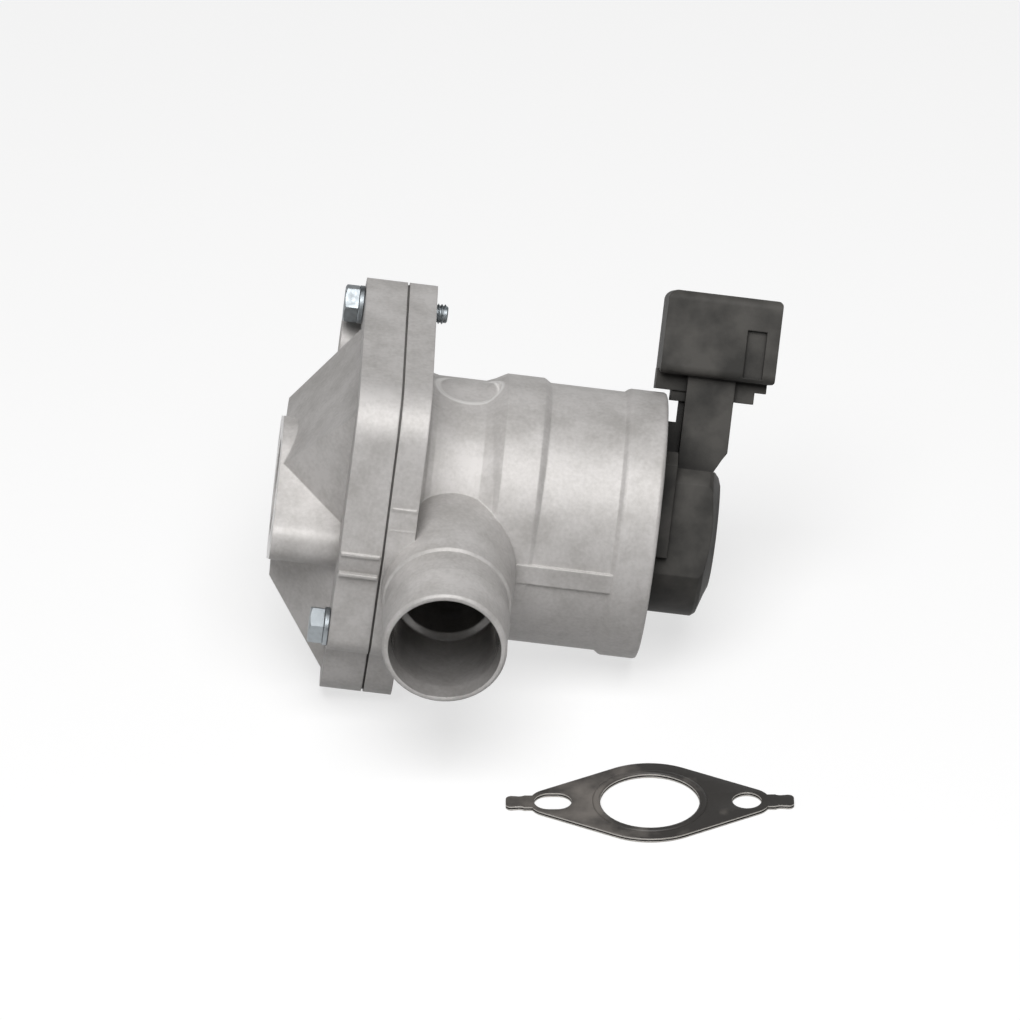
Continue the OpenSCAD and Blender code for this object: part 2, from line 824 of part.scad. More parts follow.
// A bar across the width from a side view drawn in X and Z
module side_view(width)
    translate([0, width / 2, 0])
        rotate([90, 0, 0])
            linear_extrude(width)
                children();

module cap_block() {
    skirt = 3.4;
    intersection() {
        turned([
            [0, cap_disc_end - 1], [cap_r, cap_disc_end - 1], [cap_r, cap_end - 3.2],
            [cap_r - 0.8, cap_end - 2.2], [cap_r - 5, cap_end - 0.8], [cap_r - 7, cap_end],
            [0, cap_end]
        ]);
        side_view(2 * cap_flat)
            polygon([
                [cap_disc_x, -cap_r], [cap_end, -cap_r], [cap_end, cap_top - 3],
                [cap_end - 0.6, cap_top - 1.2], [cap_end - 2, cap_top], [cap_disc_x, cap_top]
            ]);
    }
    intersection() {
        rod(cap_r + 3.6, cap_disc_end - 1, body_len + skirt);
        side_view(2 * cap_flat + 3)
            polygon([
                [cap_disc_x, -7], [body_len + skirt, -7],
                [body_len + skirt, cap_top + 3.6], [cap_disc_x, cap_top + 3.6]
            ]);
    }
}

module plug_shell() {
    r = plug_edge_r;
    half_w = plug_w / 2 - r;
    low = 0.8;
    top = plug_base + plug_h;
    intersection() {
        along_x(plug_x - cut, plug_mouth + cut)
            wrapped([
                [-half_w, plug_base + r, r], [half_w, plug_base + r, r],
                [half_w, top - r, r], [-half_w, top - r, r]
            ]);
        side_view(plug_w + 2 * cut)
            wrapped([
                [plug_x + low, plug_base + low, low], [plug_mouth - low, plug_base + low, low],
                [plug_mouth - 1.2, top - 1.2, 1.2], [plug_x + plug_end_r, top - plug_end_r, plug_end_r]
            ]);
    }
}

module cap_neck() {
    left = body_len + 4.2;
    right = cap_end + 0.8;
    web_top = cap_top + 10.7;
    ledge = plug_base - 3.8;
    side_view(11)
        polygon([
            [left, cap_top - 2], [cap_end - 3, cap_top - 2], [right - 1.2, cap_top + 2.9],
            [right, cap_top + 4.8], [right, plug_base + 2], [left, plug_base + 2]
        ]);
    side_view(4)
        polygon([
            [cap_disc_end, cap_top - 2], [left + 0.2, cap_top - 2], [left + 0.2, web_top],
            [body_len + 1, web_top], [cap_disc_end + 0.6, web_top - 3]
        ]);
    side_view(7)
        polygon([
            [plug_x - 0.4, ledge], [left + 0.6, ledge], [left + 0.6, plug_base + 1],
            [plug_x - 0.4, plug_base + 1]
        ]);
    side_view(6)
        polygon([
            [left - 3.4, ledge - 2.4], [left + 0.3, ledge - 2.4], [left + 0.3, ledge + 0.7],
            [left - 3.4, ledge + 0.7]
        ]);
    side_view(4)
        polygon([
            [left - 1.2, web_top - 1], [left + 0.1, web_top - 1],
            [left + 0.1, ledge + 0.6], [left - 1.2, ledge + 0.6]
        ]);
}

// Locking nose for the mating plug, under the socket
module plug_latch() {
    step = plug_base - 2.2;
    side_view(8)
        polygon([
            [cap_end, plug_base - 5], [plug_mouth - 4.1, plug_base - 5], [plug_mouth - 4.1, step],
            [plug_mouth - 1.4, step], [plug_mouth - 1.4, plug_base + 0.5], [cap_end, plug_base + 0.5]
        ]);
}

module socket_cut() {
    half_w = plug_w / 2 - plug_wall;
    r = 1.2;
    low = plug_base + plug_wall;
    high = plug_base + plug_h - plug_wall;
    along_x(plug_mouth - socket_depth, plug_mouth + cut)
        wrapped([
            [r - half_w, low + r, r], [half_w - r, low + r, r],
            [half_w - r, high - r, r], [r - half_w, high - r, r]
        ]);
}

// Shallow hollows in the connector's sides near the mouth
module side_hollows()
    for (side = [-1, 1])
        translate([plug_mouth - 5.4, side * plug_w / 2, plug_base + 6.6])
            cube([4.6, 2 * side_hollow, 11.2], center = true);

module terminal_bars(grow = 0)
    for (side = [-1, 1])
        translate([plug_mouth - socket_depth - 4, side * terminal_pitch / 2, plug_base + plug_h / 2])
            translate([-grow, -terminal_t / 2 - grow, -terminal_w / 2 - grow])
                cube([terminal_len, terminal_t + 2 * grow, terminal_w + 2 * grow]);

module solenoid_cap()
    color(black_plastic) as_it_lies()
        difference() {
            union() {
                difference() {
                    rod(cap_disc_r, cap_disc_x, cap_disc_end);
                    tube(cap_disc_r + 1, cap_disc_r - 2 * cap_seal_r,
                         cap_seal_x - cap_seal_r - 0.05, cap_seal_x + cap_seal_r + 0.05);
                }
                turned_back() {
                    cap_block();
                    cap_neck();
                    plug_shell();
                    plug_latch();
                }
            }
            turned_back() {
                socket_cut();
                side_hollows();
                terminal_bars(snug);
            }
        }

module cap_seal()
    color(rubber) as_it_lies()
        ring(cap_disc_r + 0.15 - cap_seal_r, cap_seal_r, cap_seal_x);

module terminals()
    color(brass) as_it_lies() turned_back()
        terminal_bars();

// Loose gasket, flat on the ground

module gasket_outline() {
    end_x = gasket_len / 2 - tab_round;
    end_y = tab_w / 2 - tab_round;
    r = tab_round;
    pad_outline(gasket_r, gasket_ear_r, pad_pitch);
    wrapped([[-end_x, -end_y, r], [end_x, -end_y, r], [end_x, end_y, r], [-end_x, end_y, r]]);
}

module gasket_holes() {
    r = gasket_hole_d / 2;
    slot = (gasket_slot_len - gasket_hole_d) / 2;
    circle(gasket_port_d / 2);
    translate([pad_pitch / 2, 0]) circle(r);
    for (side = [-1, 1])
        translate([side * slot - pad_pitch / 2, 0]) circle(r);
    translate([-pad_pitch / 2, 0]) square([2 * slot, 2 * r], center = true);
}

module port_gasket()
    color(graphite)
        translate(gasket_at)
            rotate(gasket_turn)
                difference() {
                    union() {
                        linear_extrude(gasket_t - gasket_bead_h) gasket_outline();
                        cylinder(h = gasket_t, r = gasket_port_d / 2 + 2.4);
                    }
                    translate([0, 0, -cut])
                        linear_extrude(gasket_t + 2 * cut)
                            gasket_holes();
                }

valve_housing();
air_cover();
seam_gasket();
cover_screws();
screw_washers();
reed_plate();
upper_reed();
lower_reed();
reed_roots();
reed_stops();
reed_screws();
valve_disc();
valve_seal();
disc_nut();
valve_shaft();
return_spring();
guide_bush();
shaft_seal();
front_plate();
plate_seal();
armature();
armature_sleeve();
fixed_core();
coil_bobbin();
coil_winding();
magnet_case();
solenoid_cap();
cap_seal();
terminals();
port_gasket();
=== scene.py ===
# %% [markdown]
# # A secondary-air valve and its gasket
# The valve is a die-cast body with a hose spigot, a cover with a machined outlet pad,
# and a solenoid whose black moulding carries the plug. A loose gasket lies in front.
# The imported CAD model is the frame: its solids keep their places, and this lesson
# gives them finishes and swaps a few for finer pieces.

# %% Load the frame
import bmesh
import bpy
import math
from mathutils import Matrix, Vector


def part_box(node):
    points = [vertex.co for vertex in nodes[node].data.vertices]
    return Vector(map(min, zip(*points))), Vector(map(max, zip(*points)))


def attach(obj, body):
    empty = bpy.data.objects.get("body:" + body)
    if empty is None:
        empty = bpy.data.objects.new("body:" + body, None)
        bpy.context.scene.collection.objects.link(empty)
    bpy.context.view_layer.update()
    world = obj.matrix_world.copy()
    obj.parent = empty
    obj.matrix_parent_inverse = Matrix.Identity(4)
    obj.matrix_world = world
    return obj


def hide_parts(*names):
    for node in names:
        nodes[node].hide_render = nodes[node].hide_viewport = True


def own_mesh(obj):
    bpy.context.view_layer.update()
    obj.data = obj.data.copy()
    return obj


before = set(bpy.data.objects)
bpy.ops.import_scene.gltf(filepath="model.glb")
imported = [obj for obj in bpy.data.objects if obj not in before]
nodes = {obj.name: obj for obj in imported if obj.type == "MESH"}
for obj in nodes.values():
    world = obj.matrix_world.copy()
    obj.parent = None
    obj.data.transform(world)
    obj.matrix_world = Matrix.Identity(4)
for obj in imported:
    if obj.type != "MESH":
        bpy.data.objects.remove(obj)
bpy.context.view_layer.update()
MM = 0.001

# %% [markdown]
# ## The valve's own axis
# The valve lies on its flange and its collar, so its axis leans towards the solenoid.
# Pieces and patterns that follow the axis are worked out upright, with the seam at X = 0,
# and then leant and moved by one matrix. A Mapping node does the reverse for materials.

# %% The lean as one matrix
LEAN = math.radians(7.24485)
SEAM_TO_PAD = 26 * MM
PORT_OFFSET = 2.6 * MM
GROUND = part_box("port_gasket")[0].z
lie = Matrix.Rotation(LEAN, 4, "Y") @ Matrix.Translation((SEAM_TO_PAD, PORT_OFFSET, 0))
print("ground at", round(GROUND / MM, 2), "mm; lean", round(math.degrees(LEAN), 2), "degrees")

# %% [markdown]
# ## Helpers for materials
# Colours are written as they are seen on screen, and one function turns them to the
# linear values that the shader works in. Another adds any node with its settings and links,
# so that each line of a material says one thing. Textures are scaled from real sizes.

# %% Colour and scale helpers
WAVE_TURN = 20  # a wave texture turns by 20 radians in one unit


def linear(hex_colour):
    """The linear red, green, blue and alpha of a colour, by the curve that screens use."""
    parts = [int(hex_colour[i:i + 2], 16) / 255 for i in (1, 3, 5)]
    return [p / 12.92 if p <= 0.04045 else ((p + 0.055) / 1.055) ** 2.4 for p in parts] + [1]


def noise_scale(size_mm):
    """The scale at which a noise texture's patches are this large."""
    return 1 / (size_mm * MM)


def wave_scale(apart_mm):
    """The scale at which a wave texture's lines are this far apart."""
    return math.tau / WAVE_TURN / (apart_mm * MM)


print("a mid grey is", round(linear("#808080")[0], 3), "in linear light")

# %% Add one node
def add(tree, kind, links=None, stops=(), **settings):
    """Adds a node. Settings are attributes or inputs; links give an input a node, an output or
    a plain value; stops are a ramp's positions with their values. Colours are hex strings."""
    node = tree.nodes.new("ShaderNode" + kind)
    feeds = dict(links or {})
    for key, value in settings.items():
        if hasattr(node, key):
            setattr(node, key, value)
        else:
            feeds[key.replace("_", " ")] = value
    for key, value in feeds.items():
        if isinstance(value, bpy.types.Node):
            value = next(output for output in value.outputs if output.enabled)
        if isinstance(value, bpy.types.NodeSocket):
            tree.links.new(value, node.inputs[key])
        else:
            node.inputs[key].default_value = linear(value) if isinstance(value, str) else value
    for _ in stops[2:]:  # a new ramp has two stops already
        node.color_ramp.elements.new(0.5)
    for number, (position, value) in enumerate(stops):
        element = node.color_ramp.elements[number]
        element.position = position
        element.color = linear(value) if isinstance(value, str) else [value, value, value, 1]
    return node

# %% Start and finish a material
def start_material(name):
    material = bpy.data.materials.new(name)
    material.use_nodes = True
    material.node_tree.nodes.clear()
    return material, material.node_tree


def finish_material(material, links, **settings):
    """Adds the shader that the links feed, and the output, and gives the material back."""
    shader = add(material.node_tree, "BsdfPrincipled", links, **settings)
    add(material.node_tree, "OutputMaterial", {"Surface": shader})
    return material

# %% [markdown]
# ## Places and corners on the valve
# Turned and cast patterns follow the valve's axis, so they read coordinates that are turned
# back to it. Handling rubs the sharp corners of a casting or a moulding, and a rounded corner
# catches a highlight. The Bevel node gives a rounded normal there, and where it turns away from
# the flat one the corner is painted paler, as wear and as a painted highlight: this costs no
# faces, and it fits every solid of the CAD model.

# %% Valve coordinates, and corner wear with a painted highlight
def valve_points(tree):
    """Object coordinates turned back to the valve's own upright axis, in metres."""
    place = add(tree, "TexCoord")
    return add(tree, "Mapping", {"Vector": place.outputs["Object"]},
               Rotation=(0, -LEAN, 0), Location=(-SEAM_TO_PAD, -PORT_OFFSET, 0))


def corner_wear_and_highlight(tree, radius_mm, most):
    """A rounded normal for sharp corners, and how far each point on one is painted paler, as wear and as
    a painted highlight.
    """
    rounded = add(tree, "Bevel", samples=6, Radius=radius_mm * MM)
    flat = add(tree, "NewGeometry")
    turned = add(tree, "VectorMath", {0: rounded, 1: flat.outputs["Normal"]},
                 operation="DOT_PRODUCT")
    return rounded, add(tree, "ValToRGB", {"Fac": turned}, stops=[(0.8, most), (0.98, 0)])

# %% [markdown]
# ## Cast aluminium
# The housing and the cover are die-cast and then blasted, which leaves a pale grey skin
# with fine grit and cloudy stains. A metal shader that is mostly covered by a grey oxide
# gives the broad soft highlight, and its corners are painted paler, as wear and as a painted
# highlight. Painted shade darkens its corners and creases. Three places differ, and each is
# found by its place on the valve: the bore of the spigot is darkened by painted shade, the
# pad's face is milled bright, and the milled flat on the neck has a painted highlight on its rim.

# %% Measure places on the casting
def distance_from_line(tree, points, through, keep):
    """Distance of each point from a line through a place in mm, along the axis that keep drops."""
    off = add(tree, "VectorMath", {0: points, 1: [v * MM for v in through]}, operation="SUBTRACT")
    flat = add(tree, "VectorMath", {0: off, 1: keep}, operation="MULTIPLY")
    return add(tree, "VectorMath", {0: flat}, operation="LENGTH")

# %% Painted shade in the spigot's bore
SPIGOT_AT, BORE_R, BORE_FADE = (15.7, 0, 1.1), 13.0, 0.2
BORE_SHADE_FROM, BORE_SHADE_TO = -69, -46
SPIGOT_ROOT, ROOT_FADE = -20, 4


def painted_shade_in_bore(tree, points):
    """How much painted shade darkens each point of the bore. It is strongest some way in, and ends at the
    root.
    """
    along = add(tree, "SeparateXYZ", {"Vector": points}).outputs["Y"]
    deep = add(tree, "MapRange", {"Value": along}, From_Min=BORE_SHADE_FROM * MM, From_Max=BORE_SHADE_TO * MM)
    shade_by_depth = add(tree, "ValToRGB", {"Fac": deep}, stops=[(0, 0.45), (0.4, 0.6), (0.8, 0.5), (1, 0.35)])
    from_axis = distance_from_line(tree, points, SPIGOT_AT, (1, 0, 1))
    in_bore = add(tree, "MapRange", {"Value": from_axis},
                  From_Min=(BORE_R + BORE_FADE) * MM, From_Max=BORE_R * MM)
    in_front = add(tree, "MapRange", {"Value": along},
                   From_Min=SPIGOT_ROOT * MM, From_Max=(SPIGOT_ROOT - ROOT_FADE) * MM)
    inside = add(tree, "Math", {0: in_bore, 1: in_front}, operation="MULTIPLY")
    return add(tree, "Math", {0: inside, 1: shade_by_depth}, operation="MULTIPLY")

# %% The flat's rim, with a painted highlight, and the pad's face
FLAT_AT, FLAT_R = (16.2, 4.2, 0), 7.4
RIM_FULL, RIM_ENDS = 0.4, 1.0
FLAT_FROM, FLAT_FULL = 27.4, 28.2
PAD_FADE, PAD_SKIN = 0.1, 0.03


def painted_highlight_on_rim(tree, points):
    """One on the rim of the flat on top of the neck, where a highlight is painted, and nought away from
    it.
    """
    from_middle = distance_from_line(tree, points, FLAT_AT, (1, 1, 0))
    off_rim = add(tree, "Math", {0: from_middle, 1: FLAT_R * MM}, operation="SUBTRACT")
    off_rim = add(tree, "Math", {0: off_rim}, operation="ABSOLUTE")
    on_rim = add(tree, "MapRange", {"Value": off_rim}, From_Min=RIM_ENDS * MM, From_Max=RIM_FULL * MM)
    height = add(tree, "SeparateXYZ", {"Vector": points}).outputs["Z"]
    on_top = add(tree, "MapRange", {"Value": height}, From_Min=FLAT_FROM * MM, From_Max=FLAT_FULL * MM)
    return add(tree, "Math", {0: on_rim, 1: on_top}, operation="MULTIPLY")


def face_of_pad(tree, points):
    """One on the milled face of the outlet pad, which is the valve's end on the cover's side."""
    along = add(tree, "SeparateXYZ", {"Vector": points}).outputs["X"]
    return add(tree, "MapRange", {"Value": along},
               From_Min=PAD_FADE * MM - SEAM_TO_PAD, From_Max=PAD_SKIN * MM - SEAM_TO_PAD)

# %% Cast aluminium
CLOUD_MM, STAIN_MM = 11, 4.5
GRIT_MM = 0.9     # the blasted grit is finer, and is drawn this coarse so that it shows
MILLING_MM = 0.5  # so are the cutter's rings on the pad's face


def cast_aluminium(name, pale, dark):
    material, tree = start_material(name)
    points = valve_points(tree)
    clouds = add(tree, "TexNoise", {"Vector": points}, Scale=noise_scale(CLOUD_MM), Detail=5,
                 Roughness=0.55)
    grit = add(tree, "TexNoise", {"Vector": points}, Scale=noise_scale(GRIT_MM), Detail=2,
               Roughness=0.5)
    stains = add(tree, "TexNoise", {"Vector": points}, Scale=noise_scale(STAIN_MM), Detail=3,
                 Roughness=0.6)
    mottle = add(tree, "Math", {0: grit, 1: 0.4, 2: clouds}, operation="MULTIPLY_ADD")
    shade = add(tree, "ValToRGB", {"Fac": mottle}, stops=[(0.5, dark), (0.85, pale)])
    stained = add(tree, "ValToRGB", {"Fac": stains}, stops=[(0.52, 0), (0.8, 0.24)])
    shade = add(tree, "Mix", {"Factor": stained, 6: shade, 7: "#94918d"}, data_type="RGBA")
    # Corners are painted paler, as wear and as a painted highlight.
    rounded, wear_and_highlight = corner_wear_and_highlight(tree, 0.6, 0.45)
    shade = add(tree, "Mix", {"Factor": wear_and_highlight, 6: shade, 7: "#e4e1de"}, data_type="RGBA")
    # Painted shade: an AO node darkens corners and creases towards a dark grey.
    crevice = add(tree, "AmbientOcclusion", samples=6, Distance=5 * MM)
    painted_shade_amount = add(tree, "ValToRGB", {"Fac": crevice.outputs["AO"]}, stops=[(0.3, 0.5), (0.68, 0)])
    shade = add(tree, "Mix", {"Factor": painted_shade_amount, 6: shade, 7: "#6a6763"}, data_type="RGBA")

    # Painted shade: the spigot's bore is darkened towards a dark brown.
    bore_shade = painted_shade_in_bore(tree, points)
    shade = add(tree, "Mix", {"Factor": bore_shade, 6: shade, 7: "#3f3c38"}, data_type="RGBA")
    milled = face_of_pad(tree, points)
    # The rim of the flat gets a painted highlight, and the pad's face its real milled brightness, in one
    # pale colour.
    highlight_and_milled = add(tree, "Math", {0: painted_highlight_on_rim(tree, points), 1: milled}, operation="MAXIMUM")
    shade = add(tree, "Mix", {"Factor": highlight_and_milled, 6: shade, 7: "#efedeb"}, data_type="RGBA")

    rough = add(tree, "ValToRGB", {"Fac": clouds}, stops=[(0.3, 0.5), (0.7, 0.6)])
    polish = add(tree, "Math", {0: milled, 1: 0.25}, operation="MULTIPLY")
    polish = add(tree, "Math", {0: polish, 1: bore_shade}, operation="MAXIMUM")
    rough = add(tree, "Math", {0: rough, 1: polish}, operation="SUBTRACT")
    rings = add(tree, "TexWave", {"Vector": points}, Scale=wave_scale(MILLING_MM),
                wave_type="RINGS", rings_direction="X", Distortion=0.3)
    height = add(tree, "Mix", {"Factor": milled, 2: grit, 3: rings.outputs["Fac"]})
    bump = add(tree, "Bump", {"Height": height, "Normal": rounded}, Strength=0.3,
               Distance=0.07 * MM)
    return finish_material(material, {"Base Color": shade, "Roughness": rough, "Normal": bump},
                           Metallic=0.26)


casting = cast_aluminium("cast_aluminium_blasted", "#d3d0ce", "#bab7b4")
print("made", casting.name)

# %% [markdown]
# ## Machined and turned metal
# The reed plate, the disc and the magnet's steel are cut on a lathe or mill. The cut leaves
# fine rings round the axis. Cut into the mesh they would take a great many faces, so they
# are a wave in the bump, drawn 0.6 mm apart so that they show. The bush and the sleeve are
# sintered bronze, which is browner and duller than the steel.

# %% Turned metal
CUT_MM, TARNISH_MM = 0.6, 6


def turned_metal(name, colour, roughness):
    material, tree = start_material(name)
    points = valve_points(tree)
    rings = add(tree, "TexWave", {"Vector": points}, Scale=wave_scale(CUT_MM), wave_type="RINGS",
                rings_direction="X", Distortion=0.6, Detail=1)
    stain = add(tree, "TexNoise", {"Vector": points}, Scale=noise_scale(TARNISH_MM), Detail=3)
    level = add(tree, "ValToRGB", {"Fac": stain}, stops=[(0.3, 0.86), (0.7, 1.0)])
    shade = add(tree, "HueSaturation", {"Value": level}, Color=colour)
    bump = add(tree, "Bump", {"Height": rings.outputs["Fac"]}, Strength=0.25, Distance=0.02 * MM)
    return finish_material(material, {"Base Color": shade, "Normal": bump}, Metallic=1.0,
                           Roughness=roughness)


machined = turned_metal("aluminium_turned", "#d2d1cf", 0.3)
plain_steel = turned_metal("steel_turned", "#a9abad", 0.35)
bronze = turned_metal("bronze_sintered", "#b08d57", 0.45)
print("made", machined.name, plain_steel.name, bronze.name)

# %% [markdown]
# ## Zinc-plated screws, sprung strip and wire
# Bright zinc is a bluish white metal with a soft gloss. Strip and wire for springs are
# greyer and smoother, with drawing lines that are too fine to show. Tin on the brass blades
# is a warm dull white, and a sheared edge is bare steel with a coarser gloss. All of them
# are plain metals whose gloss varies in specks of a millimetre or less, so one function
# makes them.

# %% Plated and sprung steel
def smooth_metal(name, colour, roughness, speck_mm):
    material, tree = start_material(name)
    place = add(tree, "TexCoord").outputs["Object"]
    speck = add(tree, "TexNoise", {"Vector": place}, Scale=noise_scale(speck_mm), Detail=3)
    rough = add(tree, "ValToRGB", {"Fac": speck},
                stops=[(0.3, roughness * 0.8), (0.7, roughness * 1.3)])
    level = add(tree, "ValToRGB", {"Fac": speck}, stops=[(0.3, 0.75), (0.7, 1.0)])
    shade = add(tree, "HueSaturation", {"Value": level}, Color=colour)
    return finish_material(material, {"Base Color": shade, "Roughness": rough}, Metallic=1.0)


zinc = smooth_metal("bright_zinc_plate", "#aab0b4", 0.48, 1.0)
sprung = smooth_metal("drawn_spring_steel", "#a5a7aa", 0.28, 0.8)
tinned = smooth_metal("tin_plated_brass", "#d8d0b8", 0.3, 0.7)
cut_edge = smooth_metal("sheared_steel_edge", "#b9b5b0", 0.42, 0.5)
print("made", zinc.name, sprung.name, tinned.name, cut_edge.name)

# %% [markdown]
# ## Black mouldings, rubber and gaskets
# The solenoid's moulding is glass-filled nylon: a matt dark grey with a fine eroded
# texture of about 0.35 mm, painted paler at the corners, as wear and as a painted highlight.
# Rubber is darker and rougher. The loose gasket is sheet steel with a graphite coat that has
# rubbed in places, and it is drawn darker towards its right end; its core is a blackened
# sheet. The seam gasket is pressed fibre, which shows as a thin grey line. Painted shade
# darkens the corners where pieces meet. These finishes differ only in their values, so one
# function makes them.

# %% Moulded and coated materials
def matt(name, colour, wear_and_highlight, roughness, grain_mm, depth, rubbed_mm=7, gloss=0.5, painted_shade_amount=0.85,
         darker_along_x_mm=None):
    """A dark finish. Its last argument is where, along X, the finish turns darker, as rubbed patches are
    taken away.
    """
    material, tree = start_material(name)
    place = add(tree, "TexCoord").outputs["Object"]
    grain = add(tree, "TexNoise", {"Vector": place}, Scale=noise_scale(grain_mm), Detail=2)
    rubbed = add(tree, "TexNoise", {"Vector": place}, Scale=noise_scale(rubbed_mm), Detail=5)
    # Towards the given end along X the finish is drawn darker.
    if darker_along_x_mm:
        across = add(tree, "SeparateXYZ", {"Vector": place}).outputs["X"]
        darker_along_x = add(tree, "MapRange", {"Value": across},
                    From_Min=darker_along_x_mm[0] * MM, From_Max=darker_along_x_mm[1] * MM, To_Max=0.3)
        rubbed = add(tree, "Math", {0: rubbed, 1: darker_along_x}, operation="SUBTRACT")
    shade = add(tree, "ValToRGB", {"Fac": rubbed}, stops=[(0.36, colour), (0.62, wear_and_highlight)])
    # Corners are painted paler, as wear and as a painted highlight.
    rounded, lit_and_worn_corners = corner_wear_and_highlight(tree, 0.4, 0.5)
    shade = add(tree, "Mix", {"Factor": lit_and_worn_corners, 6: shade, 7: wear_and_highlight}, data_type="RGBA")
    # Painted shade: an AO node darkens corners and creases towards near black.
    crevice = add(tree, "AmbientOcclusion", samples=6, Distance=8 * MM)
    painted_corner_shade = add(tree, "ValToRGB", {"Fac": crevice.outputs["AO"]}, stops=[(0.35, painted_shade_amount), (0.9, 0)])
    shade = add(tree, "Mix", {"Factor": painted_corner_shade, 6: shade, 7: "#161514"}, data_type="RGBA")
    bump = add(tree, "Bump", {"Height": grain, "Normal": rounded}, Strength=depth,
               Distance=0.05 * MM)
    return finish_material(material, {"Base Color": shade, "Normal": bump}, Roughness=roughness,
                           Specular_IOR_Level=gloss)


moulding = matt("glass_filled_nylon", "#3c3b39", "#565451", 0.58, 0.35, 0.3, rubbed_mm=9, gloss=0.18)
rubber = matt("moulded_rubber", "#1c1c1c", "#262626", 0.65, 0.5, 0.15)
coated_steel = matt("graphite_coated_steel", "#3a3836", "#75706b", 0.45, 0.4, 0.35, rubbed_mm=9,
                    gloss=0.6, darker_along_x_mm=(78, 104))
seam_paper = matt("fibre_seam_gasket", "#6e6c69", "#7b7976", 0.7, 0.5, 0.1, painted_shade_amount=0.3)
gasket_core = matt("blackened_core_sheet", "#1f1e1d", "#2b2a28", 0.6, 0.4, 0.2, gloss=0.3)
print("made", moulding.name, rubber.name, coated_steel.name, seam_paper.name, gasket_core.name)

# %% [markdown]
# ## Enamelled copper
# The winding is enamelled copper wire. Its turns lie side by side, drawn 1 mm apart so that
# they show, and a band wave along the axis paints shade on each turn, darker at its sides.
# The winding is one solid inside its case, so the wave stands in for some hundred turns of wire.

# %% Copper
TURN_APART_MM = 1.0
copper, tree = start_material("enamelled_copper_wire")
turns = add(tree, "TexWave", {"Vector": valve_points(tree)}, Scale=wave_scale(TURN_APART_MM),
            bands_direction="X")
# Painted shade: each turn is darker at its sides.
shade = add(tree, "ValToRGB", {"Fac": turns.outputs["Fac"]}, stops=[(0.1, "#5a2c14"), (0.6, "#b0603a")])
finish_material(copper, {"Base Color": shade}, Metallic=1.0, Roughness=0.35)
print("made", copper.name)

# %% [markdown]
# ## Which finish goes where
# Every CAD node gets the finish of the real piece by filling its material slots.

# %% Dress the CAD nodes
finishes = {
    casting: ["valve_housing", "air_cover"],
    machined: ["reed_plate", "valve_disc"],
    plain_steel: ["reed_stops", "valve_shaft", "front_plate", "armature", "fixed_core", "magnet_case"],
    bronze: ["guide_bush", "armature_sleeve"],
    zinc: ["cover_screws", "screw_washers", "disc_nut", "reed_screws"],
    sprung: ["upper_reed", "lower_reed", "reed_roots", "return_spring"],
    moulding: ["solenoid_cap", "coil_bobbin"],
    rubber: ["valve_seal", "shaft_seal", "plate_seal", "cap_seal"],
    seam_paper: ["seam_gasket"],
    tinned: ["terminals"],
    copper: ["coil_winding"],
    coated_steel: ["port_gasket"],
}
for finish, names in finishes.items():
    for name in names:
        nodes[name].data.materials.clear()
        nodes[name].data.materials.append(finish)
dressed = {name for names in finishes.values() for name in names}
print("dressed", len(dressed), "nodes; left over:", sorted(set(nodes) - dressed))

# %% [markdown]
# ## Finishing a modelled piece
# Each finer piece is shaped in a bmesh about its own axis and then moved to its place by a
# matrix, so that its object stays at the origin. Faces that meet at a small angle are shaded
# smooth, and the others keep a crisp edge. A count of open edges tells whether it is closed.

# %% Turn a bmesh into a finished piece
MERGE = 0.001 * MM


def finish_piece(name, bm, finish, body, stands_for, crisp=35):
    bmesh.ops.remove_doubles(bm, verts=bm.verts, dist=MERGE)
    bmesh.ops.delete(bm, geom=[edge for edge in bm.edges if not edge.link_faces], context="EDGES")
    bmesh.ops.recalc_face_normals(bm, faces=bm.faces)
    for edge in bm.edges:
        edge.smooth = len(edge.link_faces) == 2 and edge.calc_face_angle() < math.radians(crisp)
    for face in bm.faces:
        face.smooth = True
    open_edges = sum(len(edge.link_faces) != 2 for edge in bm.edges)
    mesh = bpy.data.meshes.new(name)
    bm.to_mesh(mesh)
    bm.free()
    mesh.materials.append(finish)
    piece = bpy.data.objects.new(name, mesh)
    bpy.context.scene.collection.objects.link(piece)
    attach(piece, body)
    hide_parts(*stands_for)
    print(name, "faces:", len(mesh.polygons), "open edges:", open_edges)
    return piece

# %% Spin a flat profile
def spin_profile(bm, points, turns, steps, rise=0.0):
    """Spins a flat profile, as (radius, height) points in mm, about Z; rise is for the whole way."""
    corners = [bm.verts.new((r * MM, 0, z * MM)) for r, z in points]
    face = bm.faces.new(corners)
    whole = turns == 1 and rise == 0
    bmesh.ops.spin(bm, geom=corners + list(face.edges) + ([] if whole else [face]), axis=(0, 0, 1),
                   dvec=(0, 0, rise * MM / steps), angle=math.tau * turns, steps=steps, use_merge=whole)
    if whole:
        bmesh.ops.delete(bm, geom=[face], context="FACES_ONLY")

# %% [markdown]
# ## Hexagon screws and their spring washers
# Three M5 screws clamp the cover. A forged hexagon head has a conical chamfer that cuts the
# corners back to a circle: a disc's rim is drawn out to the six flats and down that cone,
# and then straight down. The rolled thread is a ridge that is spun up a helix of 0.8 mm
# pitch round a thinner core, because the thread's end stands out of the flange in plain
# view. The washer is a square bar wound into one turn with a slit.

# %% Place a screw
SCREWS_AT = [(24.2, 36.5), (-36.5, -15.9), (27.8, -32.2)]
COVER_FACE, WASHER_THICK = -10.2, 1.4


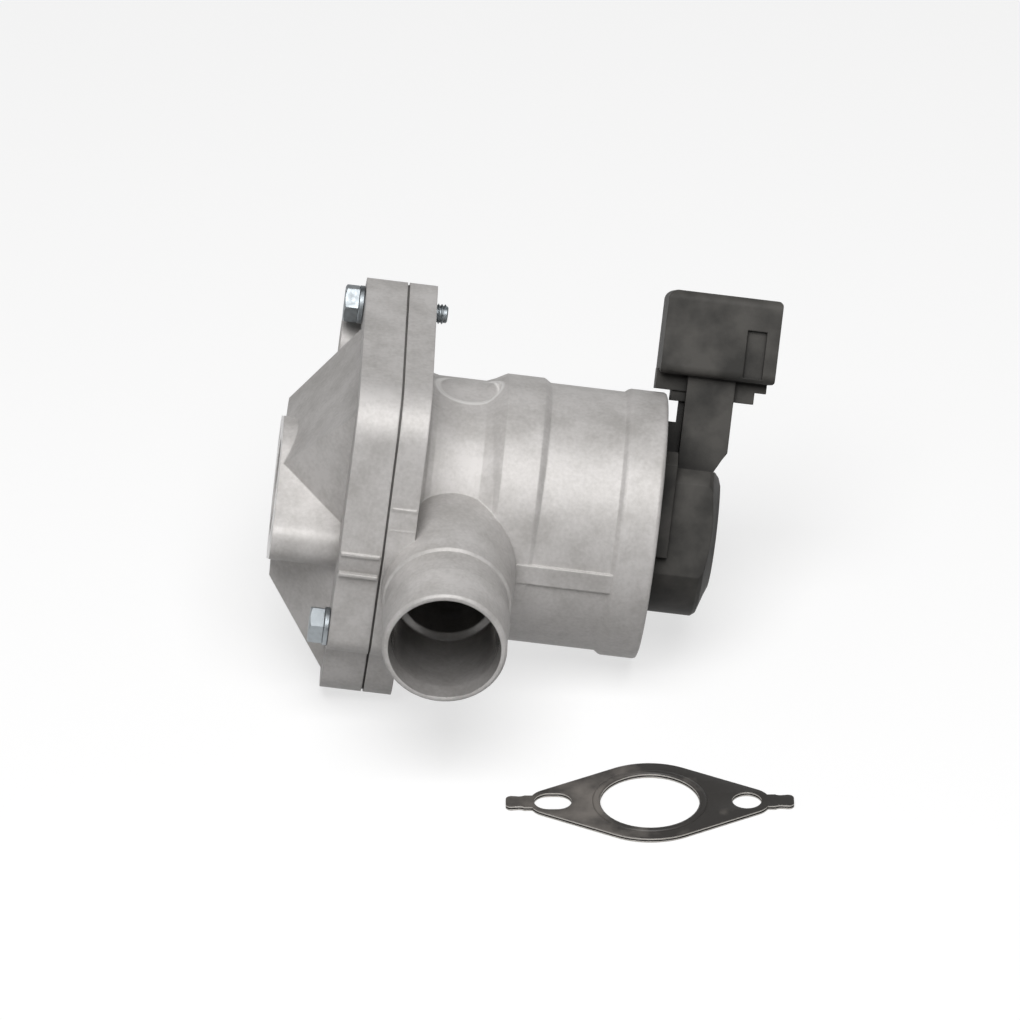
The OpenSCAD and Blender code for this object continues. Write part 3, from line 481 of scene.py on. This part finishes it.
def to_screw(at, turn):
    """Turns a piece's Z to the head's side of the valve, and moves it under the head."""
    place = Matrix.Translation(((COVER_FACE - WASHER_THICK) * MM, at[0] * MM, at[1] * MM))
    upright = Matrix.Rotation(-math.pi / 2, 4, "Y")
    return lie @ place @ upright @ Matrix.Rotation(math.radians(turn), 4, "Z")

# %% Hexagon head
HEAD_ACROSS, HEAD_HIGH = 8, 3.3
TOP_DISC, CHAMFER = 0.96, math.radians(30)
SIXTH = math.pi / 3


def hexagon_head(bm):
    half = HEAD_ACROSS / 2
    disc = bmesh.ops.create_circle(bm, cap_ends=True, segments=72, radius=half * TOP_DISC * MM,
                                   matrix=Matrix.Translation((0, 0, HEAD_HIGH * MM)))
    rim = list({edge for vert in disc["verts"] for edge in vert.link_edges})
    for level in ("chamfer", "foot"):
        drawn = bmesh.ops.extrude_edge_only(bm, edges=rim)["geom"]
        rim = [g for g in drawn if isinstance(g, bmesh.types.BMEdge) and len(g.link_faces) == 1]
        for vert in (g for g in drawn if isinstance(g, bmesh.types.BMVert)):
            round_by = math.atan2(vert.co.y, vert.co.x)
            off_flat = (round_by % SIXTH) - SIXTH / 2
            reach = half / math.cos(off_flat)
            drop = (reach - half * TOP_DISC) * math.tan(CHAMFER)
            vert.co = (math.cos(round_by) * reach * MM, math.sin(round_by) * reach * MM,
                       (HEAD_HIGH - drop) * MM if level == "chamfer" else 0)
    bmesh.ops.holes_fill(bm, edges=rim, sides=0)

# %% Shank and thread
SHANK_R, CORE_R, POINT = 2.4, 2.02, 0.3
SCREW_END, SHANK_END, BARE_TIP, BARE_TOP = 9.7, 0.5, 0.7, 0.2
THREAD_PITCH, RIDGE_FOOT, RIDGE_CREST = 0.8, 0.33, 0.06
INTO_HEAD, INTO_SHANK, INTO_CORE = 0.2, 1, 0.1


def rod(bm, radius, low, high):
    """A round bar whose lower end is slightly pointed."""
    spin_profile(bm, [(0, low), (radius - POINT, low), (radius, low + POINT), (radius, high),
                      (0, high)], 1, 40)


def threaded_screw(bm):
    """A screw with the foot of its head at 0, and its ends counted from the valve's seam."""
    hexagon_head(bm)
    seam = COVER_FACE - WASHER_THICK
    rod(bm, SHANK_R, seam - SHANK_END, INTO_HEAD)
    rod(bm, CORE_R, seam - SCREW_END, seam - SHANK_END + INTO_SHANK)
    turns = round((SCREW_END - BARE_TIP - BARE_TOP) / THREAD_PITCH)
    ridge = [(CORE_R - INTO_CORE, -RIDGE_FOOT), (SHANK_R, -RIDGE_CREST), (SHANK_R, RIDGE_CREST),
             (CORE_R - INTO_CORE, RIDGE_FOOT)]
    start = len(bm.verts)
    spin_profile(bm, ridge, turns, turns * 24, turns * THREAD_PITCH)
    bm.verts.ensure_lookup_table()
    bmesh.ops.translate(bm, verts=bm.verts[start:], vec=(0, 0, (seam - SCREW_END + BARE_TIP) * MM))

# %% Three screws
HEAD_TURNS = (-13, -2, 21)
for number, (at, turn) in enumerate(zip(SCREWS_AT, HEAD_TURNS), 1):
    bm = bmesh.new()
    threaded_screw(bm)
    bmesh.ops.transform(bm, matrix=to_screw(at, turn), verts=bm.verts)
    finish_piece(f"cover_screw_{number}", bm, zinc, "housing", ["cover_screws"])

# %% Spring washers
SLIT_TURNS = (60, 200, 110)
BAR, SLIT_RISE, WOUND, UNDER = 1.2, 0.12, 0.965, 0.04
INNER, OUTER = SHANK_R + 0.05, HEAD_ACROSS / 2 + 0.5
FOOT_LIP, INNER_EDGE, OUTER_EDGE = 0.04, 0.1, 0.15
bar_section = [(INNER, FOOT_LIP), (INNER + INNER_EDGE, 0), (OUTER - OUTER_EDGE, 0),
               (OUTER, OUTER_EDGE), (OUTER, BAR - OUTER_EDGE), (OUTER - OUTER_EDGE, BAR),
               (INNER + INNER_EDGE, BAR), (INNER, BAR - INNER_EDGE)]
to_cover = Matrix.Translation((0, 0, (UNDER - WASHER_THICK) * MM))
for number, (at, turn) in enumerate(zip(SCREWS_AT, SLIT_TURNS), 1):
    bm = bmesh.new()
    spin_profile(bm, bar_section, WOUND, 60, SLIT_RISE)
    bmesh.ops.transform(bm, matrix=to_screw(at, turn) @ to_cover, verts=bm.verts)
    finish_piece(f"spring_washer_{number}", bm, zinc, "housing", ["screw_washers"])

# %% [markdown]
# ## Return spring
# Inside the chamber a coil spring of round wire pushes the disc on its seat. Its section is
# a circle that is spun up a helix of five turns.

# %% Return spring
SPRING_R, WIRE, SPRING_FROM, SPRING_TO, COILS = 10.5, 1.6, 9.7, 28.98, 5
WIRE_SIDES, END_GAP, LIFT = 14, 0.05, 5.5
bm = bmesh.new()
round_wire = [(SPRING_R + WIRE / 2 * math.cos(a), WIRE / 2 * math.sin(a))
              for a in (math.tau * k / WIRE_SIDES for k in range(WIRE_SIDES))]
spin_profile(bm, round_wire, COILS, COILS * 40, SPRING_TO - SPRING_FROM - WIRE - 2 * END_GAP)
first_coil = Matrix.Translation(((SPRING_FROM + WIRE / 2 + END_GAP) * MM, 0, 0))
bmesh.ops.transform(bm, matrix=lie @ first_coil @ Matrix.Rotation(math.pi / 2, 4, "Y"), verts=bm.verts)
spring = finish_piece("coil_spring", bm, sprung, "housing", ["return_spring"], crisp=50)
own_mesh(spring)

# %% [markdown]
# ## Terminals
# Two tinned blades stand in the connector. They are stamped from strip, with a lead-in on
# the tip, so each starts as a bar whose front end is drawn in.

# %% Terminals
CAP_TURN = math.radians(-30)
BLADE_FROM, BLADE_LONG, BLADE_WIDE, BLADE_THICK, BLADE_UP, BLADE_APART = 67.1, 16, 2.4, 0.8, 46.1, 6.6
LEAD_IN, TIP_THIN, TIP_NARROW, BLADE_EDGE = 1.2, 0.35, 0.6, 0.08
bar_long = BLADE_LONG - LEAD_IN
for number, side in enumerate((-1, 1), 1):
    bm = bmesh.new()
    bmesh.ops.create_cube(bm, size=1)
    bmesh.ops.scale(bm, verts=bm.verts, vec=(bar_long * MM, BLADE_THICK * MM, BLADE_WIDE * MM))
    tip = [face for face in bm.faces if face.normal.x > 0.5]
    drawn = bmesh.ops.extrude_discrete_faces(bm, faces=tip)["faces"][0]
    bmesh.ops.translate(bm, verts=drawn.verts, vec=(LEAD_IN * MM, 0, 0))
    bmesh.ops.scale(bm, verts=drawn.verts, vec=(1, TIP_THIN, TIP_NARROW))
    bmesh.ops.bevel(bm, geom=bm.edges[:], offset=BLADE_EDGE * MM, offset_type="OFFSET", segments=2,
                    profile=0.5, affect="EDGES", material=-1, clamp_overlap=True)
    place = Matrix.Translation(((BLADE_FROM + bar_long / 2) * MM, side * BLADE_APART / 2 * MM,
                                BLADE_UP * MM))
    bmesh.ops.transform(bm, matrix=lie @ Matrix.Rotation(CAP_TURN, 4, "X") @ place, verts=bm.verts)
    finish_piece(f"terminal_blade_{number}", bm, tinned, "housing", ["terminals"])

# %% [markdown]
# ## The loose gasket
# The real gasket is three stamped sheets on top of each other: a coated sheet below, a dark
# core, and a coated sheet above with a bead pressed round the port. The edges are sheared,
# so they are bare and bright, with the core as a dark line between them. Each sheet is a
# flat filled curve, given a thickness and rounded edges, because such a curve keeps its
# openings by itself. The bead is a low profile that is spun round the port.

# %% The gasket's place
low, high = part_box("port_gasket")
GASKET_AT = ((low.x + high.x) / 2, (low.y + high.y) / 2, low.z)
GASKET_TURN = math.radians(1.6)
gasket_place = Matrix.Translation(GASKET_AT) @ Matrix.Rotation(GASKET_TURN, 4, "Z")
print("gasket's middle in mm:", [round(v / MM, 1) for v in GASKET_AT])

# %% The gasket's outline and openings
EAR_AT, EAR_R, BODY_R = 22.4, 5.4, 16.4
TAB_END, TAB_HALF, TIP_R, TIP_SWELL = 33.3, 2.2, 1.3, 0.2
FILLET_AT, FILLET_R, TAB_FLARE = 30.2, 2.1, 0.35
PORT_R, HOLE_R, SLOT_HALF = 11.5, 3.4, 0.95


def arc(x, y, radius, start, end, steps):
    angles = [math.radians(start + (end - start) * k / steps) for k in range(steps + 1)]
    return [(x + radius * math.cos(a), y + radius * math.sin(a)) for a in angles]


def circle(x, y, radius, corners):
    return arc(x, y, radius, 0, 360 - 360 / corners, corners - 1)


def gasket_outline(back):
    """The outline with rounded tabs, set back from the edge by the given distance."""
    touch = math.degrees(math.acos((BODY_R - EAR_R) / EAR_AT))
    half = TAB_HALF - back
    meet = math.degrees(math.asin((half + TAB_FLARE) / (EAR_R - back)))
    quarter = arc(TAB_END - back - TIP_R, half + TIP_SWELL - TIP_R, TIP_R, 0, 90, 6)
    quarter += arc(FILLET_AT, half + FILLET_R, FILLET_R, -75, -125, 5)
    quarter += arc(EAR_AT, 0, EAR_R - back, meet, touch, 8) + arc(0, 0, BODY_R - back, touch, 90, 14)
    left = [(-x, y) for x, y in reversed(quarter[:-1])]
    upper = quarter + left
    return upper + [(x, -y) for x, y in reversed(upper)]


def gasket_openings(back):
    """The port, the round hole and the slotted hole, each opened by the given distance."""
    hole = HOLE_R + back
    slot = arc(-EAR_AT + SLOT_HALF, 0, hole, -90, 90, 16)
    slot += arc(-EAR_AT - SLOT_HALF, 0, hole, 90, 270, 16)
    return [circle(0, 0, PORT_R + back, 48), circle(EAR_AT, 0, hole, 32), slot]


print("outline has", len(gasket_outline(0)), "points")

# %% Stamp a sheet
SHEET_EDGE = 0.07
SHEARED = 0.8  # a face that tilts more than this belongs to the sheared edge


def stamped_sheet(name, base, thick, back, coat, edge_finish):
    curve = bpy.data.curves.new(name, "CURVE")
    curve.dimensions, curve.fill_mode = "2D", "BOTH"
    curve.extrude, curve.bevel_depth = (thick / 2 - SHEET_EDGE) * MM, SHEET_EDGE * MM
    curve.bevel_resolution = 2
    curve.offset = -SHEET_EDGE * MM
    for line in [gasket_outline(back)] + gasket_openings(back):
        spline = curve.splines.new("POLY")
        spline.points.add(len(line) - 1)
        for point, (x, y) in zip(spline.points, line):
            point.co = (x * MM, y * MM, 0, 1)
        spline.use_cyclic_u = True
    holder = bpy.data.objects.new(name + "_curve", curve)
    bpy.context.scene.collection.objects.link(holder)
    bm = bmesh.new()
    bm.from_mesh(holder.to_mesh())
    bpy.data.objects.remove(holder)
    bmesh.ops.translate(bm, verts=bm.verts, vec=(0, 0, (base + thick / 2) * MM))
    bmesh.ops.transform(bm, matrix=gasket_place, verts=bm.verts)
    piece = finish_piece(name, bm, coat, "gasket", ["port_gasket"], crisp=50)
    piece.data.materials.append(edge_finish)
    for face in piece.data.polygons:
        face.material_index = int(abs(face.normal.z) < SHEARED)


# %% Three sheets and the bead
SHEET, TOP_SHEET, CORE_BACK = 0.34, 0.36, 0.4
BEAD = [(11.62, 1.0), (11.7, 1.14), (11.95, 1.24), (12.4, 1.29), (12.9, 1.24), (13.2, 1.12), (13.35, 1.0)]
stamped_sheet("gasket_lower_sheet", 0.0, SHEET, 0, coated_steel, cut_edge)
stamped_sheet("gasket_core_sheet", SHEET, SHEET, CORE_BACK, gasket_core, gasket_core)
stamped_sheet("gasket_upper_sheet", 2 * SHEET, TOP_SHEET, 0, coated_steel, cut_edge)
bm = bmesh.new()
spin_profile(bm, BEAD, 1, 96)
bmesh.ops.transform(bm, matrix=gasket_place, verts=bm.verts)
finish_piece("gasket_pressed_bead", bm, coated_steel, "gasket", ["port_gasket"], crisp=60)

# %% [markdown]
# ## Floor, light and camera
# The floor is plain and pale. To the camera and to glossy surfaces it is white, and it
# still takes the object's shadow. A wide lamp overhead and a little in front gives the
# broad soft highlight along the top of the barrel. The two fill lamps only lift the sides
# and the back, and the camera stands where the photograph was taken from.

# %% Floor
FLOOR_GAP, FLOOR_WIDE = 0.05 * MM, 30
bpy.ops.mesh.primitive_plane_add(size=FLOOR_WIDE, location=(0, 0, GROUND - FLOOR_GAP))
floor = bpy.context.object
floor.name = "floor"
floor_material, tree = start_material("pale_floor")
path = add(tree, "LightPath")
seen = add(tree, "Math", {0: path.outputs["Is Camera Ray"], 1: path.outputs["Is Glossy Ray"]},
           operation="MAXIMUM")
seen = add(tree, "Math", {0: seen, 1: path.outputs["Is Transmission Ray"]}, operation="MAXIMUM")
paper = add(tree, "BsdfDiffuse", Color="#616161")
shadow_part = add(tree, "BsdfDiffuse", Color="#a2a2a2")
white_part = add(tree, "Emission", Strength=0.68)
white = add(tree, "AddShader", {0: shadow_part, 1: white_part})
either = add(tree, "MixShader", {0: seen, 1: paper, 2: white})
add(tree, "OutputMaterial", {"Surface": either})
floor.data.materials.append(floor_material)
print("floor at", round((GROUND - FLOOR_GAP) / MM, 2), "mm")

# %% Lamps
MIDDLE = Vector((0.0552, 0.0026, -0.0073))


def stand_at(place, back):
    """Stands a lamp or a camera at a place, with its back turned this way."""
    return Matrix.Translation(place) @ back.to_track_quat("Z", "Y").to_matrix().to_4x4()


def soft_lamp(name, place, size, watts):
    data = bpy.data.lights.new(name, "AREA")
    data.shape = "RECTANGLE"
    data.size, data.size_y = size
    data.energy = watts
    lamp = bpy.data.objects.new(name, data)
    bpy.context.scene.collection.objects.link(lamp)
    lamp.matrix_world = stand_at(place, Vector(place) - MIDDLE)
    print(name, "of", watts, "W")


soft_lamp("overhead_softbox", (0.05, -0.56, 0.985), (0.9, 0.8), 13.2)
soft_lamp("left_fill", (-1.1, -0.7, 0.35), (0.7, 0.7), 0.6)
soft_lamp("back_fill", (0.4, 1.4, 0.2), (0.9, 0.4), 0.9)

# %% World
world = bpy.data.worlds.new("studio")
bpy.context.scene.world = world
world.use_nodes = True
tree = world.node_tree
tree.nodes.clear()
background = add(tree, "Background", Color="#595959")
add(tree, "OutputWorld", {"Surface": background})
print("made", world.name)

# %% Camera
YAW, RISE, FAR = math.radians(1.1), math.radians(30.5), 2.2
SENSOR_MM, PICTURE_PX, PX_PER_MM = 36, 1020, 4.24
back = Vector((math.sin(YAW) * math.cos(RISE), -math.cos(YAW) * math.cos(RISE), math.sin(RISE)))
camera_data = bpy.data.cameras.new("camera")
camera_data.sensor_width = SENSOR_MM
camera_data.lens = SENSOR_MM * FAR / (PICTURE_PX / PX_PER_MM * MM)
camera_data.clip_end = 50
camera = bpy.data.objects.new("camera", camera_data)
bpy.context.scene.collection.objects.link(camera)
camera.matrix_world = stand_at(MIDDLE + back * FAR, back)
bpy.context.scene.camera = camera
bpy.context.scene.view_settings.view_transform = "Standard"
print("lens", round(camera_data.lens, 1), "mm")
